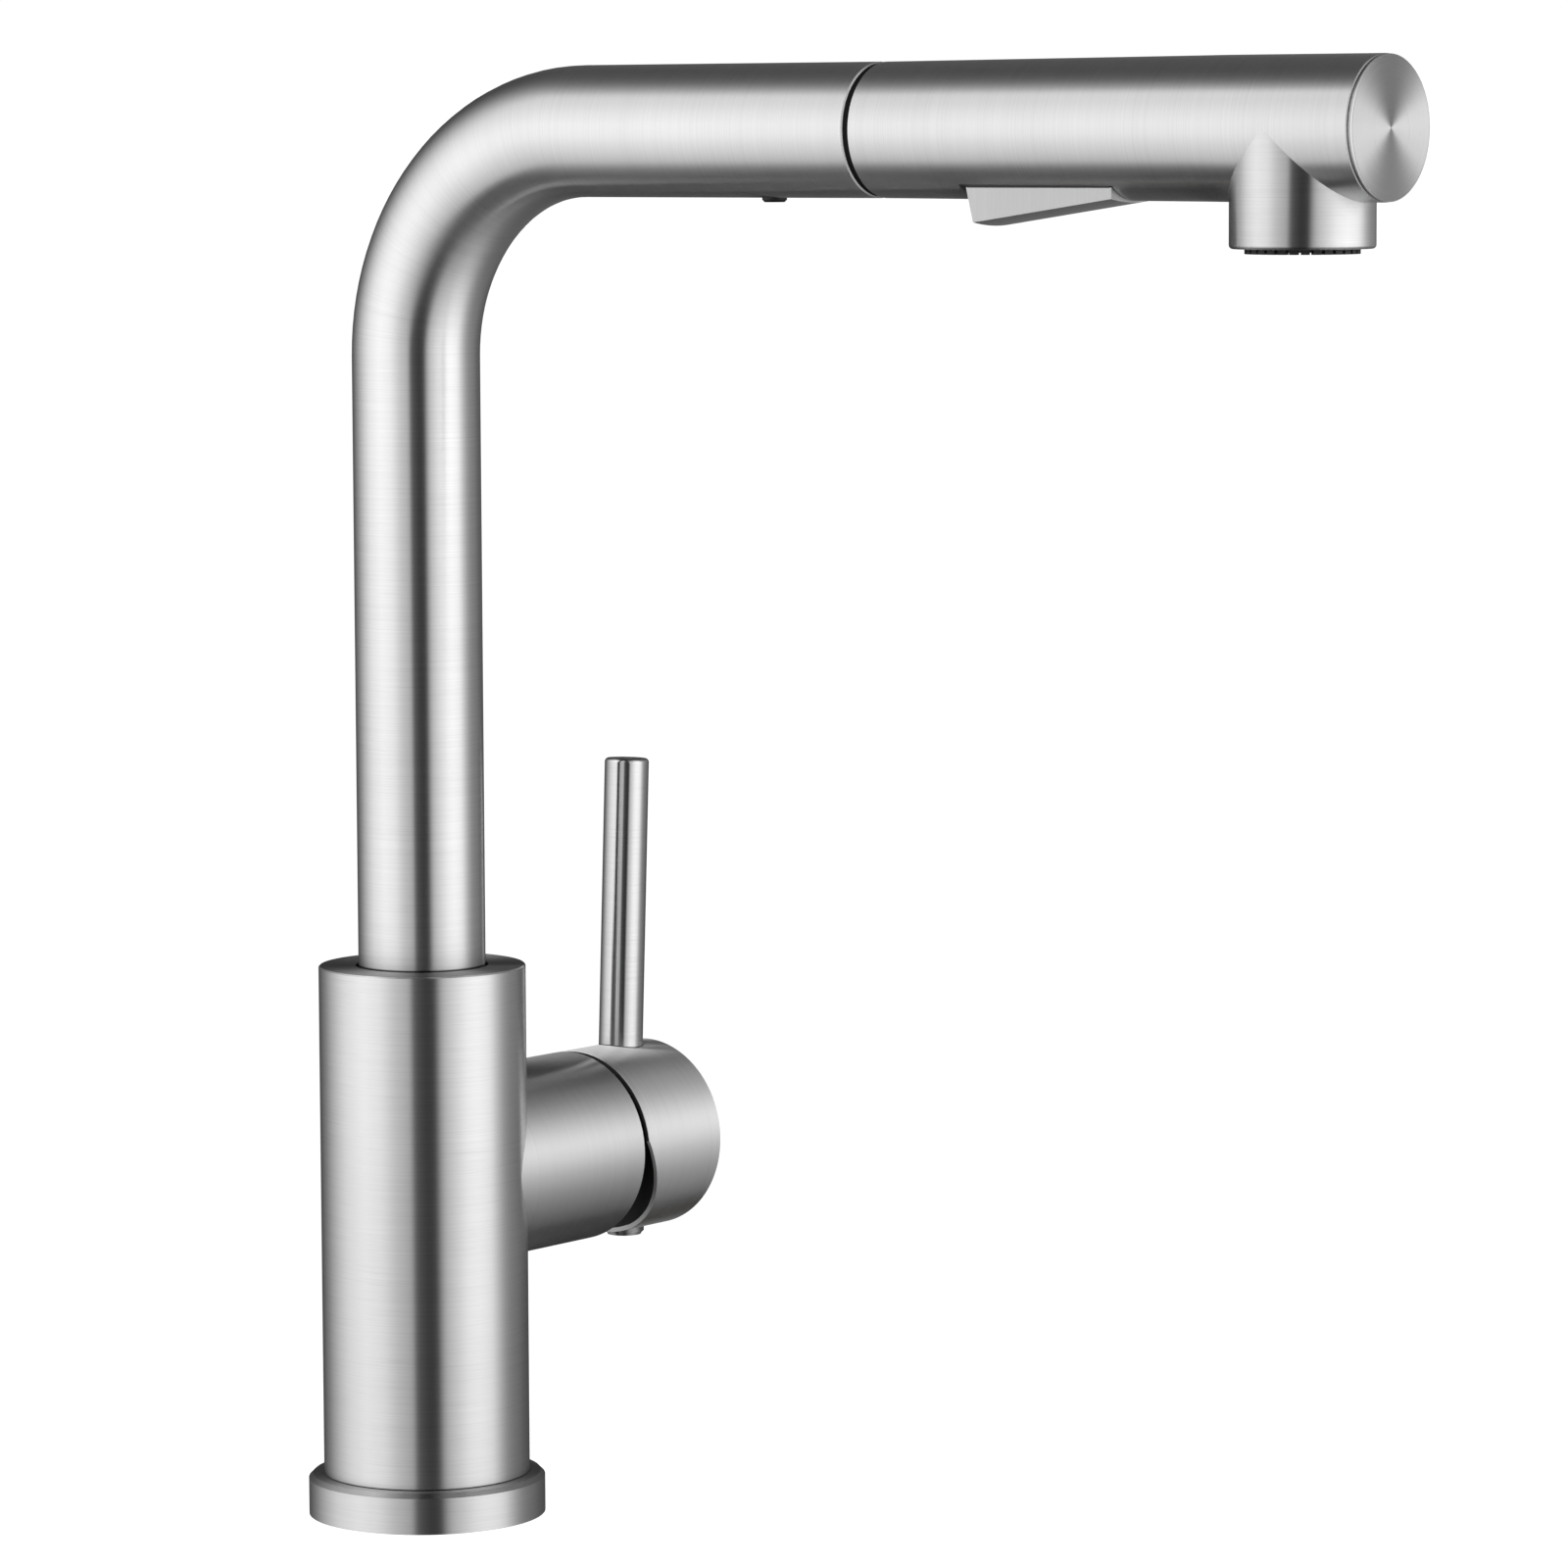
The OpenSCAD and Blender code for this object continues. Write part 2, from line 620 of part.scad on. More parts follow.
// Room for the toggle under the waterway block, with the two lugs that hold its pin left standing
module toggle_pocket() {
  difference() {
    across_head(head_r) translate([window_s - 0.5, -head_r])
      square([window_end_s - window_s + 3, head_r + pocket_top]);
    for (side = [-1, 1]) translate([side * lug_x, 0, 0]) across_head(lug_half)
      translate([toggle_pivot_s - lug_w / 2, toggle_pivot_z - 1.6]) square([lug_w, 6]);
  }
  across_head(arm_half + 0.4) translate([toggle_pivot_s - 3, pocket_top - 1])
    square([6, spool_z - pocket_top + 1]);
  toggle_axis() cylinder(r = toggle_pin_r + 0.02, h = 20, center = true);
}
module toggle_axis() {
  translate([0, -toggle_pivot_s, spout_z + toggle_pivot_z]) rotate([0, 90, 0]) children();
}
module nozzle_plate() color(white) at_nozzle(plate_low_z) difference() {
  cylinder(r = block_r, h = plate_top_z - plate_low_z);
  translate([0, 0, -eps]) cylinder(r = aerator_r + fit, h = plate_top_z - plate_low_z + 2 * eps);
  for (hole = [1 : spray_hole_count]) rotate([0, 0, hole * 360 / spray_hole_count])
    translate([spray_hole_ring, 0, -eps]) cylinder(r = 1.2, h = plate_top_z - plate_low_z + 2 * eps);
}
module spray_face() color(black) {
  at_nozzle(face_low_z) difference() {
    cylinder(r = face_r, h = plate_low_z - face_low_z - fit);
    translate([0, 0, -eps]) cylinder(r = centre_hole_r, h = plate_low_z - face_low_z + 2 * eps);
  }
  at_nozzle(nub_tip_z) for (nub = [0 : nub_count - 1]) rotate([0, 0, nub * 360 / nub_count])
    translate([nub_in_r, -nub_w / 2, 0]) cube([nub_out_r - nub_in_r, nub_w, face_low_z - nub_tip_z + 0.2]);
  at_nozzle(nub_tip_z + 0.4) for (nub = [1 : inner_nub_count]) rotate([0, 0, nub * 360 / inner_nub_count])
    translate([inner_nub_ring, 0, 0]) cylinder(r = 0.8, h = face_low_z - nub_tip_z - 0.2);
}
module aerator() color(white) at_nozzle(face_low_z)
  ring(aerator_r, aerator_r - 0.8, plate_top_z - face_low_z);
module aerator_mesh() color(steel) at_nozzle(face_low_z + 1) intersection() {
  cylinder(r = aerator_r - 0.8 - fit, h = mesh_t);
  union() {
    ring(aerator_r - 0.8, aerator_r - 1.6, mesh_t);
    for (wire = [-mesh_bars / 2 : mesh_bars / 2]) {
      translate([wire * mesh_pitch - mesh_wire / 2, -aerator_r, 0]) cube([mesh_wire, 2 * aerator_r, mesh_t]);
      translate([-aerator_r, wire * mesh_pitch - mesh_wire / 2, 0]) cube([2 * aerator_r, mesh_wire, mesh_t]);
    }
  }
}
module toggle_pin() color(steel) toggle_axis() cylinder(r = toggle_pin_r, h = toggle_pin_len, center = true);

// Spray toggle and the spool that it drives
module spray_toggle() color(steel) difference() {
  union() {
    intersection() {
      across_head(toggle_half) polygon([
        [toggle_s, toggle_top], [toggle_end_s, toggle_top], [toggle_end_s, toggle_front_z - 2],
        [toggle_s + toggle_rear_lean + 0.5, toggle_rear_z - 2]
      ]);
      toggle_crown();
    }
    across_head(toggle_hub_half) translate([toggle_pivot_s, 0]) {
      translate([0, toggle_pivot_z]) circle(r = toggle_hub_r);
      translate([-toggle_hub_r, toggle_top - 1]) square([2 * toggle_hub_r, toggle_pivot_z - toggle_top + 1]);
    }
    across_head(arm_half) translate([toggle_pivot_s, 0]) {
      translate([-arm_tip_r / 2, toggle_pivot_z]) square([arm_tip_r, arm_tip_z - toggle_pivot_z]);
      translate([0, arm_tip_z]) circle(r = arm_tip_r);
    }
  }
  toggle_axis() cylinder(r = toggle_pin_r + fit, h = 20, center = true);
}
module toggle_crown() {
  slope = atan((toggle_front_z - toggle_rear_z) / (toggle_end_s - toggle_s - toggle_rear_lean));
  translate([0, -toggle_s - toggle_rear_lean, spout_z + toggle_rear_z]) rotate([90 - slope, 0, 0])
    translate([0, toggle_crown_r, -10]) cylinder(r = toggle_crown_r, h = 60, $fn = 200);
}
module diverter_spool() color(brass) along_spout(spool_s) translate([0, spool_z, 0]) difference() {
  cylinder(r = spool_r, h = spool_end_s - spool_s - 4);
  translate([-spool_r - eps, -spool_r - eps, toggle_pivot_s - spool_s - spool_slot / 2])
    cube([2 * spool_r + 2 * eps, spool_r + eps + 1.3, spool_slot]);
  for (at = seal_at) translate([0, 0, at]) ring(spool_r + 1, spool_r - 0.7, seal_w);
}
module spool_seals() color(black) along_spout(spool_s) translate([0, spool_z, 0])
  for (at = seal_at) translate([0, 0, at + 0.1]) ring(spool_r - 0.02, spool_r - 0.68, seal_w - 0.2);

body_shell();
handle_branch();
base_ring();
base_gasket();
valve_block();
cartridge_seat();
mounting_shank();
deck_rubber_washer();
deck_steel_washer();
mounting_nut();
clamp_screws();
lower_bush();
upper_bush();
swivel_stop_screw();
cartridge_base();
cartridge_seals();
fixed_disc();
cartridge_housing();
cartridge_nut();
dome_cover();
stem_carrier();
stem_pin();
moving_disc();
disc_driver();
lever_stem();
handle_hub();
lever_rod();
hub_set_screw();
index_plug();
spout_tube();
spout_collar();
dock_sleeve();
dock_ring();
dock_lock_button();
pull_out_hose();
hose_coupling();
head_shell();
end_cap();
head_spigot();
hose_ferrule();
hose_nut();
inlet_screen();
check_valve();
waterway_block();
nozzle_plate();
spray_face();
aerator();
aerator_mesh();
toggle_pin();
spray_toggle();
diverter_spool();
spool_seals();
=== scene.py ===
"""Looks of a deck-mounted kitchen faucet with a pull-out spray head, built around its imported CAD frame.

Metres, +Z up, deck plane at z = 0, the spout reaches along -Y and the lever is on +X.
Every metal piece is brushed steel with its lines running round its own axis.
"""
import json
import math

import bmesh
import bpy
from mathutils import Matrix, Vector


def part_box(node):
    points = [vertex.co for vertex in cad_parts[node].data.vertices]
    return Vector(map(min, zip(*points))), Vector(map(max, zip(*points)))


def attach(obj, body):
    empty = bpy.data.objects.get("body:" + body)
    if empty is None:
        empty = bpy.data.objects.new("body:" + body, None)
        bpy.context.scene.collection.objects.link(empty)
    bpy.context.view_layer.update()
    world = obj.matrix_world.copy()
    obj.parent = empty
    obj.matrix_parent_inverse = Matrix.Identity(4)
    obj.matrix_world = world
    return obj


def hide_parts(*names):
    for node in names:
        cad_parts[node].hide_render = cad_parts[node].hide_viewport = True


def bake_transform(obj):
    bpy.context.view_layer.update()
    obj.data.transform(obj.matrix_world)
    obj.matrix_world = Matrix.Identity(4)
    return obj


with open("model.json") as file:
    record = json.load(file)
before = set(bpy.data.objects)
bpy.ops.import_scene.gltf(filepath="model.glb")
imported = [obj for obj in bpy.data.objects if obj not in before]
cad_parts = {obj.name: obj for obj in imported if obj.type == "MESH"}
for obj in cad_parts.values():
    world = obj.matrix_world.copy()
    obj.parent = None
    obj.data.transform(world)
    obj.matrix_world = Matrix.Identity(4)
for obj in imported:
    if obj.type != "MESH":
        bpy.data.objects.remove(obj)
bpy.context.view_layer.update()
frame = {"nodes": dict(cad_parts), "record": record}
MM = 0.001    # one millimetre, in metres

# ---------------------------------------------------------------- places, all from the frame


def middle(node):
    low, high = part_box(node)
    return (low + high) / 2


def size(node):
    low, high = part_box(node)
    return high - low


TUBE_R = size("spout_tube").x / 2
SPOUT_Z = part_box("spout_tube")[1].z - TUBE_R
BEND_R = 48.7 * MM
BEND_Z = SPOUT_Z - BEND_R
HANDLE_Z = middle("handle_branch").z
NOZZLE_Y = middle("spray_face").y
HEAD_Z = SPOUT_Z
HUB_R = size("handle_hub").y / 2
ROD = middle("lever_rod")
PLUG = middle("index_plug")

# ---------------------------------------------------------------- camera and light

AZIMUTH = math.radians(-52.48)
PITCH = math.radians(5.731)      # looks down by this much
ROLL = math.radians(0.259)
AIM = Vector((0.0191, -0.0861, 0.1655))
DISTANCE = 1.4
LENS, SENSOR = 150.2, 36.0

HORIZONTAL = Vector((-math.sin(AZIMUTH), math.cos(AZIMUTH), 0))   # from the camera into the picture
RIGHTWARDS = Vector((math.cos(AZIMUTH), math.sin(AZIMUTH), 0))


def make_camera():
    data = bpy.data.cameras.new("camera")
    data.lens, data.sensor_width = LENS, SENSOR
    data.clip_start, data.clip_end = 0.01, 100
    camera = bpy.data.objects.new("camera", data)
    forward = HORIZONTAL * math.cos(PITCH) - Vector((0, 0, 1)) * math.sin(PITCH)
    turn = (Matrix.Rotation(AZIMUTH, 3, "Z") @ Matrix.Rotation(math.pi / 2 - PITCH, 3, "X")
            @ Matrix.Rotation(-ROLL, 3, "Z"))
    camera.matrix_world = Matrix.Translation(AIM - forward * DISTANCE) @ turn.to_4x4()
    bpy.context.scene.collection.objects.link(camera)
    bpy.context.scene.camera = camera


class Tree:
    """Adds nodes to a node tree. Sockets and plain numbers are both taken as inputs."""

    def __init__(self, tree):
        self.tree = tree
        tree.nodes.clear()

    def node(self, kind, inputs=None, **settings):
        made = self.tree.nodes.new(kind)
        for name, value in settings.items():
            setattr(made, name, value)
        for name, value in (inputs or {}).items():
            self.feed(made.inputs[name], value)
        return made

    def feed(self, socket, value):
        if isinstance(value, bpy.types.NodeSocket):
            self.tree.links.new(value, socket)
        elif value is not None:
            socket.default_value = value

    def math(self, operation, *values, clamp=False):
        made = self.node("ShaderNodeMath", operation=operation, use_clamp=clamp)
        for socket, value in zip(made.inputs, values):
            self.feed(socket, value)
        return made.outputs[0]

    def vector(self, operation, *values):
        made = self.node("ShaderNodeVectorMath", operation=operation)
        for socket, value in zip(made.inputs, values):
            self.feed(socket, value)
        return made.outputs["Value" if operation in ("LENGTH", "DOT_PRODUCT", "DISTANCE") else "Vector"]

    def split(self, vector):
        made = self.node("ShaderNodeSeparateXYZ", {"Vector": vector})
        return [made.outputs[i] for i in range(3)]

    def join(self, x, y, z):
        return self.node("ShaderNodeCombineXYZ", {"X": x, "Y": y, "Z": z}).outputs[0]

    def ranged(self, value, from_low, from_high, low, high, smooth=False):
        made = self.node("ShaderNodeMapRange", interpolation_type="SMOOTHSTEP" if smooth else "LINEAR")
        for name, given in zip(("Value", "From Min", "From Max", "To Min", "To Max"),
                               (value, from_low, from_high, low, high)):
            self.feed(made.inputs[name], given)
        return made.outputs[0]

    def noise(self, vector, scale=1.0, detail=2.0, roughness=0.5):
        return self.node("ShaderNodeTexNoise", {"Vector": vector, "Scale": scale, "Detail": detail,
                                                "Roughness": roughness}).outputs["Fac"]

    def ramp(self, value, stops, interpolation="LINEAR"):
        """stops are (place from 0 to 1, brightness)."""
        made = self.node("ShaderNodeValToRGB", {"Fac": value})
        made.color_ramp.interpolation = interpolation
        elements = made.color_ramp.elements
        while len(elements) < len(stops):
            elements.new(0.5)
        for element, (place, bright) in zip(elements, stops):
            element.position = place
            element.color = (bright, bright, bright, 1)
        return made.outputs["Color"]

    def mix(self, factor, a, b):
        made = self.node("ShaderNodeMix", data_type="FLOAT")
        for socket, value in zip((made.inputs[0], made.inputs[2], made.inputs[3]), (factor, a, b)):
            self.feed(socket, value)
        return made.outputs[0]

    def mix_vector(self, factor, a, b):
        made = self.node("ShaderNodeMix", data_type="VECTOR")
        for socket, value in zip((made.inputs[0], made.inputs[4], made.inputs[5]), (factor, a, b)):
            self.feed(socket, value)
        return made.outputs[1]


# Brightness of the light tent by degrees right of the camera, as seen from the faucet
ROUND = [(-180, 0.05), (-160, 0.05), (-145, 0.12), (-130, 0.34), (-118, 0.68), (-95, 1.34), (-72, 1.66),
         (-52, 1.50), (-36, 1.04), (-18, 0.74), (-14, 0.12), (0, 0.03), (12, 0.03), (17, 0.60), (23, 1.05),
         (50, 1.95), (66, 2.10), (84, 1.85), (97, 1.08), (108, 0.60), (120, 0.38), (135, 0.28), (150, 0.15),
         (180, 0.05)]
# Share of it by degrees above the arm's height, left and right of the camera
LEFT_HEIGHT = [(-90, 0.02), (-56, 0.03), (-50, 0.08), (-44, 0.40), (-38, 0.55), (-28, 0.66), (-14, 0.80),
               (0, 0.95), (14, 1.0), (28, 0.92), (42, 0.80), (50, 0.84), (54, 0.80), (60, 0.22), (68, 0.03),
               (90, 0.03)]
RIGHT_HEIGHT = [(-90, 0.04), (-60, 0.18), (-40, 0.33), (-25, 0.54), (-10, 0.84), (2, 1.0), (12, 0.92),
                (25, 0.72), (40, 0.50), (60, 0.24), (90, 0.06)]
FULL_LIGHT = 3.0         # the ramp holds brightness up to this, scaled to 1
TENT_R = 0.72
TENT_LOW, TENT_HIGH = -1.6, 2.2
TENT_SIDES = 96
TENT_MIDDLE = Vector((AIM.x, AIM.y, 0.22))
AMBIENT = 0.035
BACKDROP_LIGHT = 1.05    # just over white, so that the backdrop and far floor don't go grey


def make_backdrop():
    """A white backdrop for the camera; everything else sees it dark."""
    world = bpy.data.worlds.new("backdrop")
    bpy.context.scene.world = world
    world.use_nodes = True
    t = Tree(world.node_tree)
    dark = t.node("ShaderNodeBackground", {"Color": (AMBIENT, AMBIENT, AMBIENT, 1)})
    white = t.node("ShaderNodeBackground", {"Color": (1, 1, 1, 1), "Strength": BACKDROP_LIGHT})
    both = t.node("ShaderNodeMixShader", {"Fac": t.node("ShaderNodeLightPath").outputs["Is Camera Ray"]})
    t.feed(both.inputs[1], dark.outputs[0])
    t.feed(both.inputs[2], white.outputs[0])
    out = t.node("ShaderNodeOutputWorld")
    t.feed(out.inputs["Surface"], both.outputs[0])
    bpy.context.scene.view_settings.view_transform = "Standard"


def make_tent():
    """A round light tent: two broad soft panels either side of the camera with a dark gap between them."""
    mesh = bpy.data.meshes.new("light_tent")
    points = [(TENT_MIDDLE.x + TENT_R * math.cos(2 * math.pi * i / TENT_SIDES),
               TENT_MIDDLE.y + TENT_R * math.sin(2 * math.pi * i / TENT_SIDES), z)
              for z in (TENT_LOW, TENT_HIGH) for i in range(TENT_SIDES)]
    mesh.from_pydata(points, [], [(i, (i + 1) % TENT_SIDES, TENT_SIDES + (i + 1) % TENT_SIDES, TENT_SIDES + i)
                                  for i in range(TENT_SIDES)])
    material = bpy.data.materials.new("light_tent")
    material.use_nodes = True
    t = Tree(material.node_tree)
    place = t.vector("SUBTRACT", t.node("ShaderNodeTexCoord").outputs["Object"], tuple(TENT_MIDDLE))
    ahead = t.vector("DOT_PRODUCT", place, tuple(-HORIZONTAL))
    aside = t.vector("DOT_PRODUCT", place, tuple(RIGHTWARDS))
    turn = t.ranged(t.math("ARCTAN2", aside, ahead), -math.pi, math.pi, 0, 1)
    rise = t.math("ARCTANGENT", t.math("DIVIDE", t.split(place)[2], TENT_R))
    rise = t.ranged(rise, -math.pi / 2, math.pi / 2, 0, 1)
    round_it = t.ramp(turn, [((d + 180) / 360, b / FULL_LIGHT) for d, b in ROUND])
    left = t.ramp(rise, [((d + 90) / 180, b) for d, b in LEFT_HEIGHT])
    right = t.ramp(rise, [((d + 90) / 180, b) for d, b in RIGHT_HEIGHT])
    height = t.mix(t.math("GREATER_THAN", turn, 0.5), left, right)
    light = t.math("MULTIPLY_ADD", t.math("MULTIPLY", round_it, height), FULL_LIGHT, AMBIENT)
    glow = t.node("ShaderNodeEmission", {"Color": (1, 1, 1, 1), "Strength": light})
    out = t.node("ShaderNodeOutputMaterial")
    t.feed(out.inputs["Surface"], glow.outputs[0])
    mesh.materials.append(material)
    tent = bpy.data.objects.new("light_tent", mesh)
    bpy.context.scene.collection.objects.link(tent)
    tent.visible_camera = False
    tent.visible_shadow = False


def make_floor():
    """A plain pale floor that fades into the backdrop."""
    reach, level = 8.0, -0.02 * MM
    mesh = bpy.data.meshes.new("floor")
    corners = [(-reach, -reach, level), (reach, -reach, level), (reach, reach, level), (-reach, reach, level)]
    mesh.from_pydata(corners, [], [(0, 1, 2, 3)])
    material = bpy.data.materials.new("pale_floor")
    material.use_nodes = True
    t = Tree(material.node_tree)
    place = t.node("ShaderNodeTexCoord").outputs["Object"]
    tone = t.ranged(t.noise(place, scale=6), 0, 1, 0.78, 0.82)
    near = t.node("ShaderNodeBsdfPrincipled", {"Base Color": t.join(tone, tone, tone), "Roughness": 0.9,
                                               "Specular IOR Level": 0.0,
                                               "Emission Color": (1, 1, 1, 1), "Emission Strength": 0.80})
    far = t.node("ShaderNodeEmission", {"Color": (1, 1, 1, 1), "Strength": BACKDROP_LIGHT})
    away = t.ranged(t.vector("LENGTH", place), 0.12, 0.30, 0, 1, smooth=True)
    both = t.node("ShaderNodeMixShader", {"Fac": away})
    t.feed(both.inputs[1], near.outputs[0])
    t.feed(both.inputs[2], far.outputs[0])
    out = t.node("ShaderNodeOutputMaterial")
    t.feed(out.inputs["Surface"], both.outputs[0])
    mesh.materials.append(material)
    floor = bpy.data.objects.new("floor", mesh)
    bpy.context.scene.collection.objects.link(floor)
    floor.visible_glossy = False
    floor.visible_diffuse = False


# ---------------------------------------------------------------- brushed steel

STEEL = (0.70, 0.70, 0.70)
PAINTED_INNER_SHADE = (0.010, 0.010, 0.011)   # colour painted on inner walls as shade
LINE = 5200          # brush lines across a metre, the fine set
BAND = 900           # the coarser set
SCRATCH = 1900       # the few deeper lines
LENGTH = 45          # how fast a line changes along its own run, per metre
RING_RUN = 0.02      # length that stands for one turn of a ring on a flat end, in metres
FLAT, SLOPING = 0.8, 0.3    # how far a face points along the axis, for a flat end and for a chamfer


class Lay:
    """How brush lines lie on a turned piece, from the place along its axis and the arm out from that axis."""

    def __init__(self, t, along, arm, direction, painted_shade_bore=0.0, painted_dark_end=0):
        normal = t.node("ShaderNodeTexCoord").outputs["Normal"]
        outward = t.vector("NORMALIZE", arm)
        radius = t.vector("LENGTH", arm)
        facing = t.vector("DOT_PRODUCT", normal, direction)
        steep = t.math("ABSOLUTE", facing)
        self.flat = flat = t.math("GREATER_THAN", steep, FLAT)
        rings = t.vector("SCALE", outward)
        rings.node.inputs["Scale"].default_value = RING_RUN
        self.across = t.mix(flat, along, radius)
        self.run = t.mix_vector(flat, arm, rings)
        self.direction = t.mix_vector(flat, direction, outward)
        self.chamfer = t.math("MULTIPLY", t.math("GREATER_THAN", steep, SLOPING),
                              t.math("LESS_THAN", steep, FLAT))
        # Painted shade: inner walls, walls within the given radius and the end facing into a narrow gap are
        # painted near black.
        painted_shade_hollow = t.math("LESS_THAN", t.vector("DOT_PRODUCT", normal, outward), -0.2)
        painted_shade_deep = t.math("MULTIPLY", t.math("LESS_THAN", radius, painted_shade_bore), t.math("LESS_THAN", facing, 0.5))
        painted_shade_end_face = t.math("GREATER_THAN", t.math("MULTIPLY", facing, painted_dark_end), 0.96)
        self.inner = t.math("MAXIMUM", t.math("MAXIMUM", painted_shade_hollow, painted_shade_deep), painted_shade_end_face)


def straight_lay(t, place, axis, centre, painted_shade_bore=0.0, painted_dark_end=0):
    """Lines round a straight axis through centre. The end facing into a narrow gap, 1 or -1 along the axis,
    and walls within the given radius are painted near black as shade.
    """
    keep = tuple(0.0 if name == axis else 1.0 for name in "XYZ")
    direction = tuple(1.0 - part for part in keep)
    local = t.vector("SUBTRACT", place, centre)
    return Lay(t, t.vector("DOT_PRODUCT", local, direction), t.vector("MULTIPLY", local, keep), direction,
               painted_shade_bore, painted_dark_end)


def spout_run(t, place):
    """Place along the spout's middle line, the arm out from it, the line's direction, the arm's two parts."""
    x, y, z = t.split(place)
    out = t.math("MAXIMUM", t.math("ADD", y, BEND_R), 0)
    up = t.math("MAXIMUM", t.math("SUBTRACT", z, BEND_Z), 0)
    angle = t.math("ARCTAN2", up, out)
    reach = t.math("MAXIMUM", t.math("SUBTRACT", t.math("MULTIPLY", y, -1), BEND_R), 0)
    along = t.math("ADD", t.math("MINIMUM", z, BEND_Z), t.math("MULTIPLY_ADD", angle, BEND_R, reach))
    across = t.math("SUBTRACT", t.vector("LENGTH", t.join(0, out, up)), BEND_R)
    sine, cosine = t.math("SINE", angle), t.math("COSINE", angle)
    arm = t.join(x, t.math("MULTIPLY", across, cosine), t.math("MULTIPLY", across, sine))
    return along, arm, t.join(0, t.math("MULTIPLY", sine, -1), cosine), x, across


def head_lay(t, place):
    """Lines round the head, and round the nozzle where the nozzle stands below it."""
    x, y, z = t.split(place)
    beside = t.math("SUBTRACT", y, NOZZLE_Y)
    below = t.math("SUBTRACT", z, HEAD_Z)
    head_arm, nozzle_arm = t.join(x, 0, below), t.join(x, beside, 0)
    nearer = t.math("GREATER_THAN", t.vector("LENGTH", head_arm), t.vector("LENGTH", nozzle_arm))
    nozzle = t.math("MULTIPLY", nearer, t.math("LESS_THAN", below, 0))
    along = t.mix(nozzle, t.math("MULTIPLY", y, -1), z)
    direction = t.join(0, t.math("SUBTRACT", nozzle, 1), nozzle)
    # Walls inside the tube, 1.5 mm in from its radius, are painted near black as shade.
    lay = Lay(t, along, t.mix_vector(nozzle, head_arm, nozzle_arm), direction, painted_shade_bore=TUBE_R - 1.5 * MM)
    return lay, nozzle


def brushed(t, lay, roughness=0.31, anisotropy=1.0, grain=1.0, tint=STEEL, shade=None, end_tone=1.0,
            end_rough=None, chamfer_tone=1.18, inner=PAINTED_INNER_SHADE):
    """Steel with fine lines round lay's axis, polished chamfers with painted light in their colour, and inner
    walls painted near black as shade.

    shade is painted shade that darkens it, from 0 to 1. The flat ends are turned and not brushed: end_rough
    is their roughness, and a factor below 1 paints them darker as shade. The chamfers' colour is multiplied
    by a factor that paints a highlight above 1 and shade below 1. inner is the colour painted on the inner
    walls as shade.
    """

    def lines(count, run, detail, rough):
        stretched = t.vector("SCALE", lay.run)
        stretched.node.inputs["Scale"].default_value = run
        return t.noise(t.vector("ADD", stretched, t.join(0, 0, t.math("MULTIPLY", lay.across, count))),
                       detail=detail, roughness=rough)

    fine = lines(LINE, LENGTH, 2.5, 0.65)
    band = lines(BAND, LENGTH * 0.5, 3, 0.6)
    scratch = t.ranged(lines(SCRATCH, LENGTH * 1.6, 2, 0.5), 0.62, 0.74, 0, 1)
    cloud = t.noise(t.node("ShaderNodeTexCoord").outputs["Object"], scale=28, detail=2)
    tone = t.math("ADD", t.math("MULTIPLY_ADD", fine, 0.26 * grain, 1 - 0.13 * grain),
                  t.math("MULTIPLY_ADD", band, 0.08 * grain, -0.04 * grain))
    tone = t.math("SUBTRACT", tone, t.math("MULTIPLY", scratch, 0.05 * grain))
    # Chamfers: a factor above 1 paints a highlight, below 1 paints shade.
    tone = t.math("MULTIPLY", tone, t.math("MULTIPLY_ADD", lay.chamfer, chamfer_tone - 1, 1))
    # Flat ends: a factor below 1 paints them darker as shade.
    tone = t.math("MULTIPLY", tone, t.math("MULTIPLY_ADD", lay.flat, end_tone - 1, 1))
    # Painted shade given by each material, from 0 to 1.
    if shade is not None:
        tone = t.math("MULTIPLY", tone, t.math("SUBTRACT", 1, shade))
    # Steel colour; some parts get a lighter or darker copy of it as painted light and shade.
    steel = t.vector("SCALE", tint)
    t.feed(steel.node.inputs["Scale"], tone)
    # Inner walls get the colour painted on them as shade.
    colour = t.mix_vector(lay.inner, steel, inner)
    level = t.mix(lay.flat, roughness, roughness if end_rough is None else end_rough)
    rough = t.math("ADD", t.math("MULTIPLY_ADD", band, 0.06, t.math("SUBTRACT", level, 0.03)),
                   t.math("MULTIPLY_ADD", cloud, 0.06, -0.03))
    rough = t.math("SUBTRACT", rough, t.math("MULTIPLY", lay.chamfer, 0.06))
    rough = t.mix(lay.inner, rough, 0.75)
    height = t.math("SUBTRACT", t.math("ADD", fine, t.math("MULTIPLY", band, 1.6)), scratch)
    bump = t.node("ShaderNodeBump", {"Height": height, "Strength": 0.5 * grain, "Distance": 2.0e-6})
    turn = t.node("ShaderNodeVectorTransform", {"Vector": lay.direction}, vector_type="VECTOR",
                  convert_from="OBJECT", convert_to="WORLD")
    shader = t.node("ShaderNodeBsdfPrincipled", {
        "Base Color": colour, "Metallic": t.math("SUBTRACT", 1, lay.inner), "Roughness": rough,
        "Specular IOR Level": t.mix(lay.inner, 0.5, 0.1), "Anisotropic": anisotropy,
        "Tangent": turn.outputs[0], "Normal": bump.outputs[0]})
    out = t.node("ShaderNodeOutputMaterial")
    t.feed(out.inputs["Surface"], shader.outputs[0])


def new_material(name):
    material = bpy.data.materials.new(name)
    material.use_nodes = True
    tree = Tree(material.node_tree)
    return material, tree, tree.node("ShaderNodeTexCoord").outputs["Object"]


